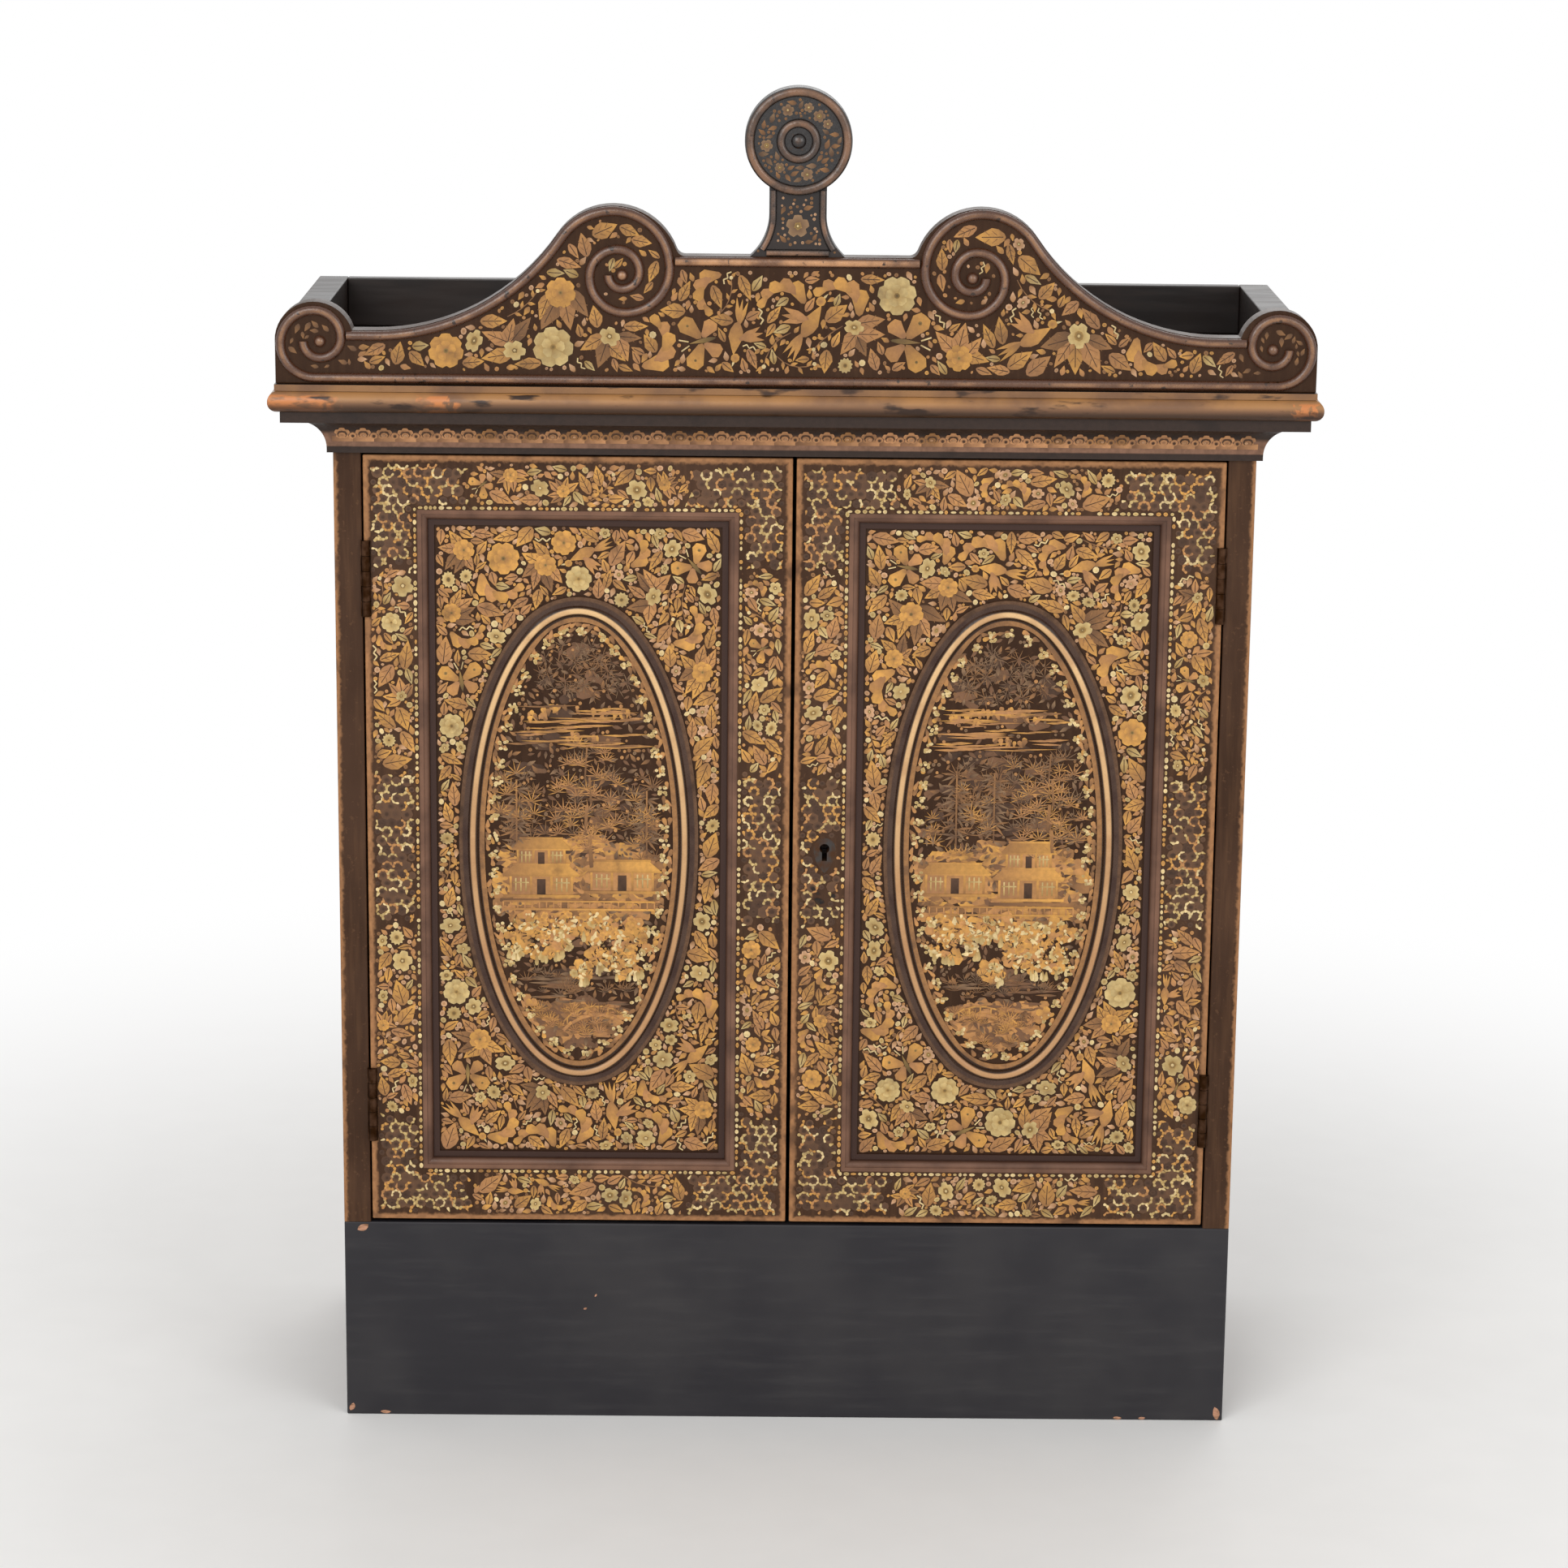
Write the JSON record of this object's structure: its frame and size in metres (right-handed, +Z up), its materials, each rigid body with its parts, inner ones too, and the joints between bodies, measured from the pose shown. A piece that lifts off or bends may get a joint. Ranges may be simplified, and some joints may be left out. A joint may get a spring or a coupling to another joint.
{
  "type": "lacquered cabinet",
  "caption": "Small free-standing two-door cabinet in dark lacquer with gilt decoration, oval-beaded door panels, a coved cornice and a scrolled gallery tray with a disc finial on top.",
  "frame": {"origin": "floor level, under the middle of the whole box, cornice included", "axes": "+X to the right of someone facing the doors, +Y to the back, +Z up"},
  "size_m": [0.563, 0.2454, 0.7554],
  "materials": {
    "brown_lacquer": "dark brown lacquer on wood, worn and crowded with gilt flowers and leaves",
    "black_lacquer": "plain charcoal-black lacquer on wood, satin, chipped at corners",
    "inner_wood": "thin reddish-brown wash on wood",
    "gilt_bead": "brown-gold lacquer over half-round wood beads, rubbed on the crowns",
    "hinge_brass": "dulled brass, the knuckles painted over",
    "lock_iron": "dark filed iron",
    "escutcheon_metal": "dark tarnished inlay, flush with the stile"
  },
  "bodies": {
    "carcase": {"side_left": "brown_lacquer", "side_right": "brown_lacquer", "plinth_front": "black_lacquer", "carcase_bottom": "inner_wood", "front_top_rail": "brown_lacquer", "top_board": "brown_lacquer", "back_board_lower": "black_lacquer", "back_board_middle": "black_lacquer", "back_board_upper": "black_lacquer", "plinth_blocks": "inner_wood", "lower_shelf": "inner_wood", "upper_shelf": "inner_wood", "shelf_bearers": "inner_wood", "door_stops": "inner_wood", "cornice_front": "brown_lacquer", "cornice_left": "brown_lacquer", "cornice_right": "brown_lacquer", "gallery_front": "brown_lacquer", "gallery_left": "black_lacquer", "gallery_right": "black_lacquer", "gallery_back": "black_lacquer", "scroll_bead_left": "gilt_bead", "scroll_bead_right": "gilt_bead", "base_bead": "gilt_bead", "rail_bead": "gilt_bead", "finial_post": "brown_lacquer", "finial_roundel": "gilt_bead", "finial_beads": "gilt_bead", "frame_hinge_leaves": "hinge_brass", "frame_hinge_screws": "hinge_brass", "hinge_pins": "hinge_brass"},
    "left_door": {"left_hinge_stile": "brown_lacquer", "left_meeting_stile": "brown_lacquer", "left_top_rail": "brown_lacquer", "left_bottom_rail": "brown_lacquer", "left_panel": "brown_lacquer", "left_panel_moulding": "brown_lacquer", "left_oval_bead": "gilt_bead", "left_door_hinge_leaves": "hinge_brass", "left_door_hinge_screws": "hinge_brass", "strike_plate": "hinge_brass", "slide_bolt_plates": "hinge_brass"},
    "right_door": {"right_hinge_stile": "brown_lacquer", "right_meeting_stile": "brown_lacquer", "right_top_rail": "brown_lacquer", "right_bottom_rail": "brown_lacquer", "right_panel": "brown_lacquer", "right_panel_moulding": "brown_lacquer", "right_oval_bead": "gilt_bead", "right_door_hinge_leaves": "hinge_brass", "right_door_hinge_screws": "hinge_brass", "escutcheon": "escutcheon_metal", "lock_case": "lock_iron", "lock_cap": "lock_iron", "lock_screws": "lock_iron"},
    "lock_bolt": {"lock_bolt": "hinge_brass"},
    "upper_slide_bolt": {"upper_slide_bolt": "hinge_brass"},
    "lower_slide_bolt": {"lower_slide_bolt": "hinge_brass"}
  },
  "joints": [
    {"name": "left_door_swing", "type": "hinge", "parent": "carcase", "child": "left_door", "pos_m": [-0.2328, -0.09225, 0.336], "axis": [0, 0, -1], "range_deg": [0, 170]},
    {"name": "right_door_swing", "type": "hinge", "parent": "carcase", "child": "right_door", "pos_m": [0.2328, -0.09225, 0.336], "axis": [0, 0, 1], "range_deg": [0, 170]},
    {"name": "lock_bolt_throw", "type": "slide", "parent": "right_door", "child": "lock_bolt", "axis": [-1, 0, 0], "range_m": [0, 0.007]},
    {"name": "upper_slide_bolt_throw", "type": "slide", "parent": "left_door", "child": "upper_slide_bolt", "axis": [0, 0, 1], "range_m": [0, 0.01]},
    {"name": "lower_slide_bolt_throw", "type": "slide", "parent": "left_door", "child": "lower_slide_bolt", "axis": [0, 0, -1], "range_m": [0, 0.01]}
  ]
}
